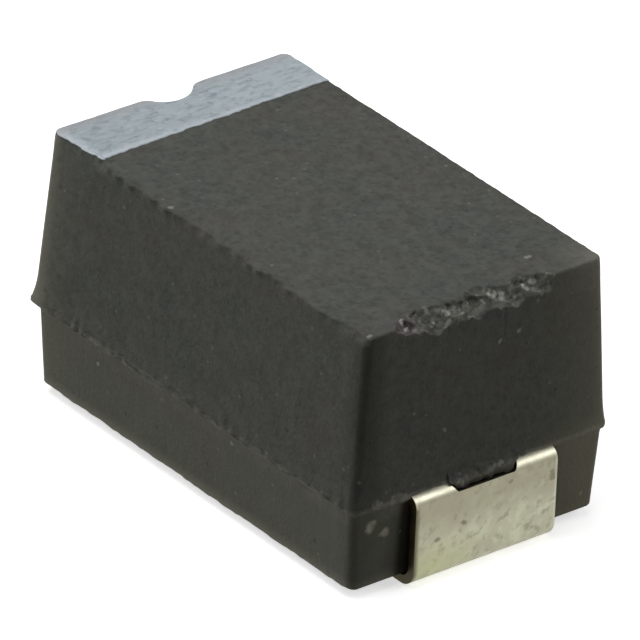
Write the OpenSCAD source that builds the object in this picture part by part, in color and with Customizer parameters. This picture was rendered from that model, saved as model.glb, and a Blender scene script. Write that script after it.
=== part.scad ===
// Moulded tantalum chip capacitor, 7343-43 size, with folded lead-frame terminals.
// Units are millimetres. The origin is the middle of the seating plane under the pads.
// +X points to the cathode end, -X to the anode end that carries the polarity band, +Z is up.

/* [Case] */
// Length of the flat top face
case_top_length = 6.87; // [6.6:0.01:7.0]
// Width of the flat top face
case_top_width = 3.98; // [3.8:0.01:4.1]
// Length of the upper half where it meets the parting line
case_upper_length = 7.0; // [6.9:0.01:7.05]
// Width of the upper half where it meets the parting line
case_upper_width = 4.3; // [4.15:0.01:4.35]
// Length of the lower half where it meets the parting line
case_lower_length = 6.955; // [6.9:0.005:6.98]
// Width of the lower half where it meets the parting line
case_lower_width = 4.255; // [4.2:0.005:4.3]
// Length of the underside
case_bottom_length = 6.82; // [6.75:0.01:6.88]
// Width of the underside
case_bottom_width = 4.13; // [4.05:0.01:4.2]
// Height of the top face above the seating plane
case_top_z = 3.97; // [3.9:0.01:4.05]
// Radius of the upright corners
case_corner_radius = 0.12; // [0.08:0.01:0.2]
// Radius round the top and bottom edges
case_edge_radius = 0.05; // [0.03:0.01:0.07]

/* [Parting line] */
// Height of the parting line above the seating plane
parting_z = 1.39; // [1.3:0.01:1.45]
// How far the flash stands out past the upper half at the two cathode corners
flash_proud_cathode = 0.028; // [0.01:0.002:0.05]
// How far the flash stands out past the upper half at the two anode corners
flash_proud_anode = 0.06; // [0.02:0.005:0.09]
// How far above the parting line the flash begins
flash_above = 0.17; // [0.1:0.01:0.25]
// How far below the parting line the flash ends
flash_below = 0.12; // [0.08:0.01:0.2]

/* [Polarity marks] */
// Width of the pale band, measured along the case
band_width = 1.0; // [0.8:0.01:1.2]
// Thickness of the band
band_thickness = 0.015; // [0.01:0.005:0.03]
// Radius of the round notch in the anode end
notch_radius = 0.45; // [0.4:0.01:0.5]
// Depth of the notch into the end face, measured at the top face
notch_depth = 0.265; // [0.2:0.005:0.3]
// Radius that rounds the two lips of the notch
notch_lip_radius = 0.2; // [0.1:0.01:0.25]
// How far the notch runs down the end face
notch_height = 1.7; // [1.2:0.05:2.0]
// Draft of the notch floor against the end face, in degrees
notch_draft = 3; // [1:0.5:4]

/* [Gate scar] */
// Length of the break along the top edge of the cathode end
scar_length = 2.8; // [2.4:0.05:2.9]
// Distance of the break's middle from the middle of the case
scar_offset = -0.2; // [-0.25:0.01:0.25]
// How far the break reaches into the top face, on average
scar_top_reach = 0.25; // [0.15:0.01:0.3]
// How far the break reaches down the end face, on average
scar_end_reach = 0.24; // [0.15:0.01:0.3]
// Share of its reach by which the break's outline swings in and out
scar_swing = 0.3; // [0:0.05:0.4]
// How deep the break is hollowed below a straight chamfer
scar_hollow = 0.03; // [0:0.005:0.05]
// Height of the rough grain of the break
scar_grain = 0.05; // [0.02:0.005:0.07]

/* [Terminals] */
// Length over both terminals
overall_length = 7.3; // [7.3:0.01:7.4]
// Thickness of the lead-frame strip
strip_thickness = 0.13; // [0.11:0.005:0.15]
// Width of each terminal
terminal_width = 2.4; // [2.2:0.05:2.6]
// Length of each solder pad, measured from the outer face of the terminal
pad_length = 1.3; // [1.1:0.05:1.5]
// Bend radius at the foot of the terminal, on the middle of the strip
foot_bend = 0.2; // [0.15:0.01:0.25]
// Bend radius at the shoulder of the terminal, on the middle of the strip
shoulder_bend = 0.105; // [0.09:0.005:0.11]
// Bend radius of the steps inside the case, on the middle of the strip
inner_bend = 0.12; // [0.1:0.01:0.16]
// Width of the window across the shoulder at its top
window_top_width = 1.2; // [1.0:0.05:1.3]
// Width of the window at its lower edge
window_foot_width = 0.95; // [0.8:0.01:1.1]
// How far the window reaches down the outer leg
window_drop = 0.14; // [0.1:0.01:0.25]
// How far the window lies to one side of the terminal's middle
window_offset = -0.01; // [-0.1:0.01:0.1]
// How far the window reaches into the case
window_inside = 0.28; // [0.2:0.01:0.3]
// How far the epoxy in the window stands out from the case
plug_proud = 0.07; // [0.03:0.01:0.1]
// Gap between the epoxy in the window and the strip on each side
plug_gap = 0.03; // [0.02:0.005:0.05]

/* [Capacitor element] */
// Length of the sintered slug
slug_length = 4.4; // [4.2:0.05:4.4]
// Width of the sintered slug
slug_width = 3.0; // [2.6:0.05:3.1]
// Height of the sintered slug
slug_height = 2.7; // [2.5:0.05:2.7]
// Radius of the long edges of the slug
slug_edge_radius = 0.15; // [0.1:0.01:0.3]
// Thickness of the manganese dioxide
dioxide_thickness = 0.05; // [0.04:0.005:0.06]
// Thickness of the graphite
graphite_thickness = 0.03; // [0.025:0.005:0.04]
// Thickness of the silver
silver_thickness = 0.04; // [0.03:0.005:0.05]
// Thickness of the adhesive between the silver and the cathode shelf
adhesive_thickness = 0.055; // [0.04:0.005:0.06]
// Diameter of the anode wire
wire_diameter = 0.44; // [0.3:0.01:0.5]
// Length of the wire inside the slug
wire_embedded = 3.0; // [2.5:0.05:3.4]
// Length of the wire outside the slug
wire_free = 1.08; // [1.0:0.01:1.1]
// How deep the weld sinks the wire into the anode tab
weld_sink = 0.03; // [0.02:0.005:0.04]
// Outer diameter of the insulating washer
washer_diameter = 1.2; // [0.9:0.05:1.4]
// Thickness of the insulating washer
washer_thickness = 0.2; // [0.15:0.01:0.25]
// Width of the anode tab under the wire
anode_tab_width = 1.3; // [1.0:0.05:1.6]
// Width of the cathode shelf under the slug
cathode_shelf_width = 2.0; // [1.6:0.05:2.2]
// Height of the middle of the cathode shelf above the seating plane
shelf_z = 0.5; // [0.48:0.005:0.52]
// Where the cathode shelf ends under the slug
shelf_end_x = 0.9; // [0.5:0.1:1.4]
// Where the anode strip rises, as a distance from the middle of the case
anode_rise_x = 2.95; // [2.93:0.01:2.98]
// Where the anode tab ends, as a distance from the middle of the case
anode_tab_end_x = 2.4; // [2.35:0.01:2.6]
// Where the slug's anode face stands
slug_anode_x = -1.95; // [-1.98:0.01:-1.92]
// Bare dioxide between the slug's anode edge and the graphite
graphite_setback = 0.12; // [0.05:0.01:0.2]
// Distance from the slug's anode edge to the silver
silver_setback = 0.35; // [0.25:0.05:0.6]

/* [Hidden] */

// Segments in a quarter turn of the case's corners and of a strip's bends
corner_steps = 6;
edge_steps = 3;
bend_steps = 6;
// Thickness of the flash at its outer edge
flash_edge = 0.024;
// Overlap that keeps a cutting tool clear of the face it cuts, and its longer form
clear = 0.2;
long_clear = 3 * clear;
// Slope on which the notch runs out at its lower end, in degrees
notch_run_out = 45;
// Gap between the band's edge and the notch
band_gap = 0.01;
// Depth to which the epoxy in a window is rooted in the case, and its height over the parting line
plug_root = 0.1;
plug_rise = 0.12;
// A strip narrows this far inside its window, over this length
neck_setback = 0.08;
neck_taper = 0.06;

// The case stands on the pads, so its underside is one strip thickness up
case_bottom_z = strip_thickness;
upper_height = case_top_z - parting_z;
lower_height = parting_z - case_bottom_z;

// Strip heights, on the middle of the strip
pad_z = strip_thickness / 2;
leg_x = overall_length / 2 - strip_thickness / 2;
exit_z = parting_z - strip_thickness / 2;

// The coated element lies on the cathode shelf
coat = dioxide_thickness + graphite_thickness + silver_thickness;
shelf_top_z = shelf_z + strip_thickness / 2;
slug_bottom_z = shelf_top_z + adhesive_thickness + coat;
slug_mid_z = slug_bottom_z + slug_height / 2;
slug_cathode_x = slug_anode_x + slug_length;
graphite_start_x = slug_anode_x + graphite_setback;
silver_start_x = slug_anode_x + silver_setback;

// Adhesive behind the coated slug, and how far it stays inside the shelf's edges and its bend
adhesive_end_gap = 0.085;
adhesive_margin = 0.1;
adhesive_drop = 0.15;

// Inner runs of the two strips
cathode_drop_x = slug_cathode_x + coat + adhesive_end_gap + strip_thickness / 2;
anode_tab_z = slug_mid_z - wire_diameter / 2 + weld_sink - strip_thickness / 2;

// Draft of the end faces of the upper half, in degrees
end_draft = atan((case_upper_length - case_top_length) / 2 / upper_height);

// The notch's round floor and the two round lips that join it to the end face, seen from above
anode_edge_x = -case_top_length / 2;
notch_x = anode_edge_x + notch_depth - notch_radius;
lip_x = anode_edge_x + notch_lip_radius;
lip_y = sqrt(pow(notch_radius + notch_lip_radius, 2) - pow(lip_x - notch_x, 2));

// ---- Case outline -------------------------------------------------------------------------

// Size of the case at height z on the straight walls, as [length, width]
function upper_size(z) = let (t = (z - parting_z) / upper_height) [
    case_upper_length + (case_top_length - case_upper_length) * t,
    case_upper_width + (case_top_width - case_upper_width) * t
];
function lower_size(z) = let (t = (z - case_bottom_z) / lower_height) [
    case_bottom_length + (case_lower_length - case_bottom_length) * t,
    case_bottom_width + (case_lower_width - case_bottom_width) * t
];

// One ring of points round a rounded rectangle, pulled in on every side by inset, which is
// given for the cathode end and the anode end
function ring(size, z, cathode_inset, anode_inset) = [
    for (corner = [0:3])
        for (step = [0:corner_steps])
            let (
                sx = (corner == 0 || corner == 3) ? 1 : -1,
                sy = (corner < 2) ? 1 : -1,
                inset = sx > 0 ? cathode_inset : anode_inset,
                r = case_corner_radius - inset / 2,
                angle = 90 * corner + 90 * step / corner_steps
            )
            [
                sx * (size[0] / 2 - inset - r) + r * cos(angle),
                sy * (size[1] / 2 - inset - r) + r * sin(angle),
                z
            ]
];
function even_ring(size, z, inset) = ring(size, z, inset, inset);

// Rings that round an edge: at step 0 the edge's flat face, at the last step its wall
function edge_rings(flat_z, into, size, steps) = [
    for (step = [0:steps])
        let (angle = 90 * step / steps)
        even_ring(
            size,
            flat_z + into * case_edge_radius * (1 - cos(angle)),
            case_edge_radius * (1 - sin(angle))
        )
];

function reversed(list) = [for (i = [len(list) - 1:-1:0]) list[i]];

// Skin over a stack of rings that all have the same number of points
module loft(rings) {
    count = len(rings[0]);
    sides = [
        for (level = [0:len(rings) - 2])
            for (i = [0:count - 1])
                let (next = (i + 1) % count)
                [
                    level * count + i,
                    (level + 1) * count + i,
                    (level + 1) * count + next,
                    level * count + next
                ]
    ];
    floor_face = [for (i = [0:count - 1]) i];
    roof_face = [for (i = [count - 1:-1:0]) (len(rings) - 1) * count + i];
    polyhedron(
        points = [for (level = rings) each level],
        faces = concat(sides, [floor_face], [roof_face]),
        convexity = 4
    );
}

// The two drafted halves with the flash ridge between them
module case_blank() {
    lower_wall_z = parting_z - flash_below;
    upper_wall_z = parting_z + flash_above;
    tip = [case_upper_length, case_upper_width];
    rings = concat(
        edge_rings(case_bottom_z, 1, lower_size(case_bottom_z), edge_steps),
        [
            even_ring(lower_size(lower_wall_z), lower_wall_z, 0),
            ring(tip, parting_z - flash_edge / 2, -flash_proud_cathode, -flash_proud_anode),
            ring(tip, parting_z + flash_edge / 2, -flash_proud_cathode, -flash_proud_anode),
            even_ring(upper_size(upper_wall_z), upper_wall_z, 0)
        ],
        reversed(edge_rings(case_top_z, -1, upper_size(case_top_z), edge_steps))
    );
    loft(rings);
}

// Plan of the notch: a round floor, and lips that turn into the end face
module notch_plan(grow) {
    reach = notch_radius / (notch_radius + notch_lip_radius);
    touch = [notch_x + reach * (lip_x - notch_x), reach * lip_y];
    translate([notch_x, 0])
        circle(r = notch_radius + grow, $fn = 64);
    difference() {
        polygon([
            [anode_edge_x - long_clear, -lip_y],
            [anode_edge_x, -lip_y],
            [touch[0], -touch[1]],
            [touch[0], touch[1]],
            [anode_edge_x, lip_y],
            [anode_edge_x - long_clear, lip_y]
        ]);
        for (side = [-1, 1])
            translate([lip_x, side * lip_y])
                circle(r = notch_lip_radius - grow, $fn = 48);
    }
}

// Groove of that plan, leaning with the end face and its own draft, that runs out on a slope
module notch_cutter() {
    slope_block = 3;
    difference() {
        translate([anode_edge_x, 0, case_top_z])
            rotate([0, end_draft + notch_draft, 0])
                translate([-anode_edge_x, 0, -notch_height])
                    linear_extrude(height = notch_height + clear)
                        notch_plan(0);
        translate([anode_edge_x, 0, case_top_z - notch_height])
            rotate([0, -notch_run_out, 0])
                translate([-slope_block / 2, -slope_block / 2, -slope_block])
                    cube(slope_block);
    }
}

// Repeatable roughness between -1 and 1 for the grain of a break
function rough(i, j) = let (v = sin(i * 127.1 + j * 311.7) * 437.585) 2 * (v - floor(v)) - 1;

// The broken gate: a rough hollow slope across the top edge of the cathode end.
// u runs along the edge from 0 to 1, v from the top face (0) down to the end face (1).
scar_rows = 34;
scar_columns = 6;
// Length of the rows' clear end, as a share of the whole, where the break has a height to close on
scar_tip = 0.004;
// A low power of a sine makes the two ends of the break blunt
scar_bluntness = 0.3;
// The outline's lobes: their number along the break, and the angle at which they start
scar_top_lobes = [3.3, 145];
scar_end_lobes = [4, 38];
// Grain of the outermost points, as a share of the rest
scar_rim_grain = 0.5;
// How far the lower rim lies outside the drafted end face
scar_overrun = 0.02;
function scar_fade(u) = pow(sin(180 * min(max(u, scar_tip), 1 - scar_tip)), scar_bluntness);
function scar_reach(u, reach, lobes) =
    reach * scar_fade(u) * (1 + scar_swing * sin(360 * lobes[0] * u + lobes[1]));
function scar_point(i, j) = let (
    u = i / scar_rows,
    v = j / scar_columns,
    share = (j == 0 || j == scar_columns) ? scar_rim_grain : 1,
    grain = scar_grain * rough(i, j) * share * scar_fade(u),
    hollow = scar_hollow * 4 * v * (1 - v) * scar_fade(u),
    shift = (grain - hollow) * sqrt(0.5),
    top_reach = scar_reach(u, scar_top_reach, scar_top_lobes),
    end_reach = scar_reach(u, scar_end_reach, scar_end_lobes)
) [
    case_top_length / 2 - top_reach * (1 - v) + scar_overrun * v + shift,
    scar_offset + scar_length * (u - 0.5),
    case_top_z - end_reach * v + shift
];
module scar_cutter() {
    outer = 2 * clear;
    row = scar_columns + 3;
    points = [
        for (i = [0:scar_rows])
            each concat(
                [scar_point(i, 0) + [0, 0, outer]],
                [for (j = [0:scar_columns]) scar_point(i, j)],
                [scar_point(i, scar_columns) + [outer, 0, 0]]
            )
    ];
    corner_start = len(points);
    corners = [
        for (i = [0:scar_rows])
            [case_top_length / 2 + outer, scar_point(i, 0)[1], case_top_z + outer]
    ];
    skin = [
        for (i = [0:scar_rows - 1])
            for (j = [0:row - 2])
                let (a = i * row + j, b = a + row)
                each [[a, a + 1, b + 1], [a, b + 1, b]]
    ];
    back = [
        for (i = [0:scar_rows - 1])
            let (
                top = i * row,
                low = top + row - 1,
                c = corner_start + i
            )
            each [
                [top + row, c + 1, c], [top + row, c, top],
                [low, c, c + 1], [low, c + 1, low + row]
            ]
    ];
    near_cap = [[for (j = [row - 1:-1:0]) j, corner_start]];
    last = scar_rows * row;
    far_cap = [[for (j = [0:row - 1]) last + j, corner_start + scar_rows]];
    polyhedron(
        points = concat(points, corners),
        faces = concat(skin, back, near_cap, far_cap),
        convexity = 6
    );
}

// ---- Lead-frame strips ---------------------------------------------------------------------

function unit(v) = v / norm(v);
function turn_left(v) = [-v[1], v[0]];

// One bend of a strip: points on a round corner at b between a and c, on the line that lies
// side * half_thickness to the left of the middle line
function bend_points(a, b, c, radius, shift) = let (
    d0 = unit(b - a),
    d1 = unit(c - b),
    turning = sign(d0[0] * d1[1] - d0[1] * d1[0]),
    centre = b - d0 * radius + turn_left(d0) * turning * radius,
    edge_radius = radius - turning * shift,
    start = -turn_left(d0) * turning,
    finish = -turn_left(d1) * turning,
    start_angle = atan2(start[1], start[0])
) [
    for (step = [0:bend_steps])
        let (angle = start_angle + turning * 90 * step / bend_steps)
        centre + edge_radius * [cos(angle), sin(angle)]
];

// Both edges of a strip that follows a path with square bends, as one closed outline
function strip_edge(path, radii, shift) = let (
    last = len(path) - 1,
    d0 = unit(path[1] - path[0]),
    d1 = unit(path[last] - path[last - 1])
) concat(
    [path[0] + turn_left(d0) * shift],
    [
        for (i = [1:last - 1])
            each bend_points(path[i - 1], path[i], path[i + 1], radii[i - 1], shift)
    ],
    [path[last] + turn_left(d1) * shift]
);
function strip_outline(path, radii) = concat(
    strip_edge(path, radii, strip_thickness / 2),
    reversed(strip_edge(path, radii, -strip_thickness / 2))
);

// A strip of the given width, standing on its path in the XZ plane
module strip(path, radii, width) {
    rotate([90, 0, 0])
        translate([0, 0, -width / 2])
            linear_extrude(height = width)
                polygon(strip_outline(path, radii));
}

// Path of the part of a terminal outside the case, from the pad's tip to the exit
outer_path = [
    [overall_length / 2 - pad_length, pad_z],
    [leg_x, pad_z],
    [leg_x, exit_z]
];
cathode_path = concat(outer_path, [
    [cathode_drop_x, exit_z],
    [cathode_drop_x, shelf_z],
    [shelf_end_x, shelf_z]
]);
anode_path = concat(outer_path, [
    [anode_rise_x, exit_z],
    [anode_rise_x, anode_tab_z],
    [anode_tab_end_x, anode_tab_z]
]);
bend_radii = [foot_bend, shoulder_bend, inner_bend, inner_bend];

// Window across the shoulder: wide inside the case, tapering to its lower edge on the leg
module shoulder_window() {
    wall_x = case_lower_length / 2;
    low_z = parting_z - window_drop;
    translate([wall_x - window_inside, window_offset, 0])
        rotate([90, 0, 90])
            linear_extrude(height = window_inside + long_clear)
                polygon([
                    [-window_foot_width / 2, low_z],
                    [window_foot_width / 2, low_z],
                    [window_top_width / 2, parting_z],
                    [window_top_width / 2, parting_z + clear],
                    [-window_top_width / 2, parting_z + clear],
                    [-window_top_width / 2, parting_z]
                ]);
}

// Outline of a terminal seen from above: full width outside, narrower inside the case
module plan_of_strip(inner_width) {
    shoulder_x = case_lower_length / 2 - window_inside - neck_setback;
    linear_extrude(height = case_top_z)
        polygon([
            [shoulder_x, -terminal_width / 2],
            [overall_length / 2 + clear, -terminal_width / 2],
            [overall_length / 2 + clear, terminal_width / 2],
            [shoulder_x, terminal_width / 2],
            [shoulder_x - neck_taper, inner_width / 2],
            [0, inner_width / 2],
            [0, -inner_width / 2],
            [shoulder_x - neck_taper, -inner_width / 2]
        ]);
}

// Space that the pad takes at its full width under the case
module pad_plan() {
    translate([0, -terminal_width / 2, -clear])
        cube([overall_length, terminal_width, 2 * clear]);
}

module terminal(path, inner_width) {
    difference() {
        intersection() {
            strip(path, bend_radii, terminal_width);
            union() {
                plan_of_strip(inner_width);
                pad_plan();
            }
        }
        shoulder_window();
    }
}

module cathode_strip() {
    terminal(cathode_path, cathode_shelf_width);
}

module anode_strip() {
    difference() {
        mirror([1, 0, 0])
            terminal(anode_path, anode_tab_width);
        wire_body();
    }
}

// ---- Capacitor element ---------------------------------------------------------------------

// A block with rounded long edges, from x0 to x1, grown by grow on its four long sides
module element_block(x0, x1, grow) {
    half_width = slug_width / 2 + grow;
    half_height = slug_height / 2 + grow;
    r = slug_edge_radius + grow;
    translate([x0, 0, slug_mid_z])
        rotate([90, 0, 90])
            linear_extrude(height = x1 - x0)
                union() {
                    square([2 * half_width, 2 * (half_height - r)], center = true);
                    square([2 * (half_width - r), 2 * half_height], center = true);
                    for (sy = [-1, 1])
                        for (sz = [-1, 1])
                            translate([sy * (half_width - r), sz * (half_height - r)])
                                circle(r = r, $fn = 32);
                }
}

module round_on_wire(diameter, x0, x1) {
    translate([x0, 0, slug_mid_z])
        rotate([0, 90, 0])
            cylinder(d = diameter, h = x1 - x0, $fn = 48);
}

module wire_body() {
    round_on_wire(wire_diameter, slug_anode_x - wire_free, slug_anode_x + wire_embedded);
}

module slug_body() {
    element_block(slug_anode_x, slug_cathode_x, 0);
}

// Outer shapes of the three coats
module dioxide_outer() {
    element_block(
        slug_anode_x - dioxide_thickness,
        slug_cathode_x + dioxide_thickness,
        dioxide_thickness
    );
}
module graphite_outer() {
    grow = dioxide_thickness + graphite_thickness;
    element_block(graphite_start_x, slug_cathode_x + grow, grow);
}
module silver_outer() {
    element_block(silver_start_x, slug_cathode_x + coat, coat);
}

module washer_outer() {
    round_on_wire(washer_diameter, slug_anode_x - washer_thickness, slug_anode_x);
}

// Adhesive fills the gap below and behind the silvered block, down to the shelf and the drop
module adhesive_body() {
    half_width = cathode_shelf_width / 2 - adhesive_margin;
    from_x = shelf_end_x + adhesive_margin;
    to_x = cathode_drop_x - strip_thickness / 2;
    difference() {
        translate([from_x, -half_width, shelf_z])
            cube([to_x - from_x, 2 * half_width, exit_z - shelf_z - adhesive_drop]);
        silver_outer();
        strip(cathode_path, bend_radii, terminal_width);
    }
}

// Everything that the epoxy was moulded round
module moulded_in() {
    dioxide_outer();
    graphite_outer();
    silver_outer();
    washer_outer();
    wire_body();
    adhesive_body();
    cathode_strip();
    anode_strip();
}

// Epoxy that filled a terminal's window between the two halves of the mould, broken off short:
// it stands out at the foot of the window, and leans back and widens up to the wall above
module window_plug() {
    wall_x = case_lower_length / 2;
    foot_z = parting_z - strip_thickness;
    hull() {
        plug_slab(window_foot_width - 2 * plug_gap, wall_x + plug_proud, foot_z, strip_thickness / 2);
        plug_slab(window_top_width - 2 * plug_gap, wall_x, parting_z, plug_rise);
    }
}
module plug_slab(width, face_x, low_z, height) {
    root_x = case_lower_length / 2 - plug_root;
    translate([root_x, window_offset - width / 2, low_z])
        cube([face_x - root_x, width, height]);
}

// ---- Nodes ---------------------------------------------------------------------------------

module moulded_case() {
    color("#41423e")
        difference() {
            union() {
                case_blank();
                window_plug();
                mirror([1, 0, 0]) window_plug();
            }
            notch_cutter();
            scar_cutter();
            moulded_in();
        }
}

module anode_terminal() {
    color("#bdbba6") anode_strip();
}

module cathode_terminal() {
    color("#bdbba6") cathode_strip();
}

// The band covers the flat of the top face from the anode edge, round the notch
module polarity_band() {
    flat = even_ring([case_top_length, case_top_width], 0, case_edge_radius);
    color("#9ba4aa")
        translate([0, 0, case_top_z])
            linear_extrude(height = band_thickness)
                difference() {
                    intersection() {
                        polygon([for (p = flat) [p[0], p[1]]]);
                        translate([anode_edge_x, -case_top_width / 2])
                            square([band_width, case_top_width]);
                    }
                    notch_plan(band_gap);
                }
}

module tantalum_slug() {
    color("#5d6066")
        difference() {
            slug_body();
            wire_body();
        }
}

module anode_wire() {
    color("#8b8e93") wire_body();
}

module insulating_washer() {
    color("#eeeeea")
        difference() {
            washer_outer();
            wire_body();
        }
}

module manganese_dioxide_layer() {
    color("#2a2726")
        difference() {
            dioxide_outer();
            slug_body();
            washer_outer();
        }
}

module graphite_layer() {
    color("#3a3b3d")
        difference() {
            graphite_outer();
            dioxide_outer();
        }
}

module silver_layer() {
    color("#b9babb")
        difference() {
            silver_outer();
            graphite_outer();
        }
}

module silver_adhesive() {
    color("#a3a39f") adhesive_body();
}

moulded_case();
anode_terminal();
cathode_terminal();
polarity_band();
tantalum_slug();
anode_wire();
insulating_washer();
manganese_dioxide_layer();
graphite_layer();
silver_layer();
silver_adhesive();
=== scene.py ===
"""Looks for the moulded tantalum chip capacitor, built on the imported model.

Lengths in this script are millimetres in the part's own frame until a mesh is made: +X is the
cathode end, -X the anode end with the pale band, +Z is up, and z = 0 is the seating plane.
"""

import itertools
import math

import bpy
import numpy as np
from mathutils import Matrix, Vector


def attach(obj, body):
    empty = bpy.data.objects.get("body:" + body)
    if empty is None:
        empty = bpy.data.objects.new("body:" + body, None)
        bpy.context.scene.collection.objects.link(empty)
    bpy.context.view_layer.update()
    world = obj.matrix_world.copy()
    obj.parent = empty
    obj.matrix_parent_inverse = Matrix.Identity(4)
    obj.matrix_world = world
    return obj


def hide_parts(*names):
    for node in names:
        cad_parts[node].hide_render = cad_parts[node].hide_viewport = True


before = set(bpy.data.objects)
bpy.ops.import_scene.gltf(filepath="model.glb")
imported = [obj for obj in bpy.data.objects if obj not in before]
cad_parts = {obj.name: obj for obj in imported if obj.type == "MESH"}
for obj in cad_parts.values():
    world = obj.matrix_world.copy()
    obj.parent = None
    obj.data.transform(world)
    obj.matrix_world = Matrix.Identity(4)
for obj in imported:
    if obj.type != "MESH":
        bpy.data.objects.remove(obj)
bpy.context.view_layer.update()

MM = 0.001

# ---- Sizes ---------------------------------------------------------------------------------

# The moulded case, with lengths along X and widths along Y. They are the solids' own, but for a
# thinner band, and flash that flares out over more of the wall above it
TOP_LENGTH, TOP_WIDTH = 6.87, 3.98
UPPER_LENGTH, UPPER_WIDTH = 7.0, 4.3
LOWER_LENGTH, LOWER_WIDTH = 6.955, 4.255
BOTTOM_LENGTH, BOTTOM_WIDTH = 6.82, 4.13
BOTTOM_Z, PARTING_Z, TOP_Z = 0.13, 1.39, 3.97
CORNER_RADIUS, EDGE_RADIUS, TOP_EDGE_RADIUS = 0.12, 0.03, 0.03
FLASH_CATHODE, FLASH_ANODE = 0.028, 0.06
FLASH_ABOVE, FLASH_BELOW = 0.4, 0.12
NOTCH_RADIUS, NOTCH_DEPTH, NOTCH_LIP, NOTCH_HEIGHT = 0.45, 0.265, 0.2, 1.7
NOTCH_DRAFT = math.tan(math.radians(3))
BAND_EDGE_X = -TOP_LENGTH / 2 + 1.0
BAND_THICKNESS = 0.012

# The folded strips, as in the solids: their middle lines, and the radii of the bends on them
STRIP = 0.13
LEG_X, PAD_Z, EXIT_Z = 3.585, 0.065, 1.325
PAD_TIP_X = 2.35
TERMINAL_WIDTH = 2.4
WINDOW_TOP, WINDOW_FOOT, WINDOW_DROP, WINDOW_INSIDE = 1.2, 0.95, 0.14, 0.28
CATHODE_RUN = [
    (PAD_TIP_X, PAD_Z), (LEG_X, PAD_Z), (LEG_X, EXIT_Z), (2.72, EXIT_Z), (2.72, 0.5), (0.9, 0.5)]
ANODE_RUN = [
    (PAD_TIP_X, PAD_Z), (LEG_X, PAD_Z), (LEG_X, EXIT_Z), (2.95, EXIT_Z), (2.95, 1.835),
    (2.4, 1.835)]
BENDS = [0.2, 0.105, 0.12, 0.12]
CATHODE_INNER_WIDTH, ANODE_INNER_WIDTH = 2.0, 1.3

# Only here: how far the notch sits off the middle and the band sinks in, the lean of the near
# anode corner toward its flash, the rounding of stamped edges, and the plug in each window
NOTCH_Y = -0.03
BAND_SINK = 0.004
CORNER_LEAN = 0.042
STAMPED_ROUNDING = 0.028
PLUG_REACH, PLUG_FOOT_Z, PLUG_TOP_Z, PLUG_GAP = 0.1, 1.285, 1.53, 0.03

# ---- Repeatable roughness ------------------------------------------------------------------


def hashed(cells, seed):
    """A number from 0 to 1 for each row of whole numbers, always the same for the same seed."""
    n = np.full(cells.shape[:-1], seed * 2654435761 % 2**32, np.uint64)
    for axis in range(cells.shape[-1]):
        whole = (cells[..., axis].astype(np.int64) & 0xFFFFFFFF).astype(np.uint64)
        n = (n ^ whole) * np.uint64(0x9E3779B97F4A7C15)
        n ^= n >> np.uint64(29)
    n = (n * np.uint64(0xBF58476D1CE4E5B9)) >> np.uint64(40)
    return n.astype(float) / 2**24


def noise(points, size, seed):
    """Smooth bumps from -1 to 1, about size across."""
    q = points / np.asarray(size, float)
    cell = np.floor(q)
    f = q - cell
    f = f * f * (3 - 2 * f)
    total = np.zeros(q.shape[:-1])
    for corner in itertools.product((0, 1), repeat=q.shape[-1]):
        weight = np.prod(np.where(np.array(corner) == 1, f, 1 - f), axis=-1)
        total += weight * hashed(cell + np.array(corner), seed)
    return 2 * total - 1


def chips(points, size, seed):
    """Heights of a chipped surface: flat patches about size across, each with its own tilt."""
    q = points / size
    cell = np.floor(q)
    nearest = np.full(q.shape[:-1], 9.0)
    height = np.zeros(q.shape[:-1])
    for offset in itertools.product((-1, 0, 1), repeat=2):
        c = cell + np.array(offset)
        middle = c + np.stack([hashed(c, seed), hashed(c, seed + 1)], -1)
        gap = q - middle
        distance = (gap**2).sum(-1)
        tilt = 2 * np.stack([hashed(c, seed + 2), hashed(c, seed + 3)], -1) - 1
        patch = hashed(c, seed + 4) - 0.5 + 1.3 * (gap * tilt).sum(-1)
        closer = distance < nearest
        nearest = np.where(closer, distance, nearest)
        height = np.where(closer, patch, height)
    return height


def spaced(knots):
    """Positions through (position, step) knots, with the step changing from one to the next."""
    places = [knots[0][0]]
    for (a, step_a), (b, step_b) in zip(knots, knots[1:]):
        count = max(1, round((b - a) / ((step_a + step_b) / 2)))
        t = np.linspace(0, 1, count + 1)[1:]
        warped = (step_a * t + (step_b - step_a) * t * t / 2) / ((step_a + step_b) / 2)
        places += list(a + (b - a) * warped)
    return np.array(places)


def mesh_object(name, verts, faces, slots=None):
    """A smooth-shaded mesh from points in millimetres."""
    mesh = bpy.data.meshes.new(name)
    mesh.from_pydata((np.asarray(verts) * MM).tolist(), [], faces)
    mesh.validate()
    mesh.polygons.foreach_set("use_smooth", [True] * len(mesh.polygons))
    if slots is not None:
        mesh.polygons.foreach_set("material_index", slots)
    obj = bpy.data.objects.new(name, mesh)
    bpy.context.scene.collection.objects.link(obj)
    return obj


# ---- Moulded case --------------------------------------------------------------------------

ARC = np.radians([15, 30, 45])
# Straight parts of the case's outline: fine at the break, at the band's edge and round the notch
LONG_KNOTS = [
    (-3.26, 0.04), (-2.6, 0.03), (BAND_EDGE_X, 0.02), (-2.2, 0.04), (2.8, 0.04), (3.0, 0.022),
    (3.31, 0.022)]
SHORT_KNOTS = [(-1.94, 0.04), (-1.6, 0.022), (1.3, 0.022), (1.55, 0.03), (1.94, 0.05)]
LONG_AT = spaced(LONG_KNOTS)
SHORT_AT = spaced(SHORT_KNOTS)
BAND_LINE = int(np.argmin(abs(LONG_AT - BAND_EDGE_X)))


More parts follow.
